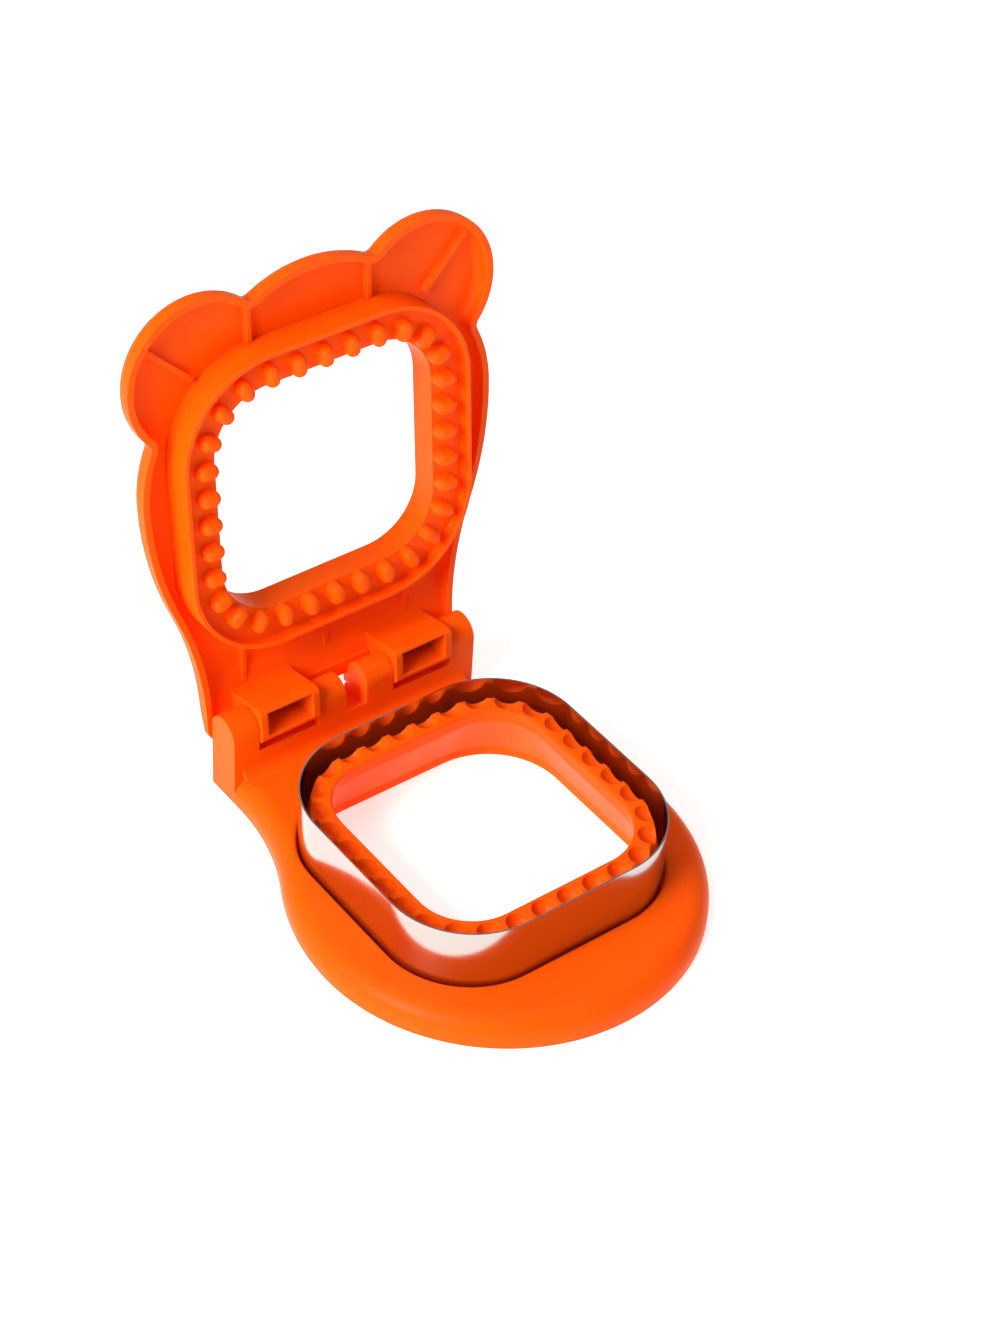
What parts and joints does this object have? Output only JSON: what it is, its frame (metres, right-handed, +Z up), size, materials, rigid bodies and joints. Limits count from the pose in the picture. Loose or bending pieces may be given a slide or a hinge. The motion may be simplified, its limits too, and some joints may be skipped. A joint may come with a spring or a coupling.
{
  "type": "sandwich cutter and sealer",
  "caption": "Hinged sandwich cutter and sealer: steel square cutting ring round a toothed crimp ring on a flat base, pressed by a bear-head lid.",
  "frame": {"origin": "centre of the bottom of the overall box with the lid at rest, open; the base's underside lies on Z = 0", "axes": "+X along the hinge, -Y to the front where the base's round end lies, +Z up"},
  "size_m": [0.1248, 0.1682, 0.1654],
  "materials": {
    "moulding": "satin gloss, bright orange moulded plastic",
    "blade_steel": "mirror polished stainless strip",
    "pin_steel": "plain drawn wire"
  },
  "bodies": {
    "base": {"base_shell": "moulding", "crimp_ring": "moulding", "cutting_blade": "blade_steel"},
    "lid": {"lid_shell": "moulding", "press_ring": "moulding", "hinge_pin_left": "pin_steel", "hinge_pin_right": "pin_steel"}
  },
  "joints": [
    {"name": "lid_hinge", "type": "hinge", "parent": "base", "child": "lid", "pos_m": [0, 0.05782, 0.0252], "axis": [1, 0, 0], "range_deg": [0, 95.4]}
  ]
}
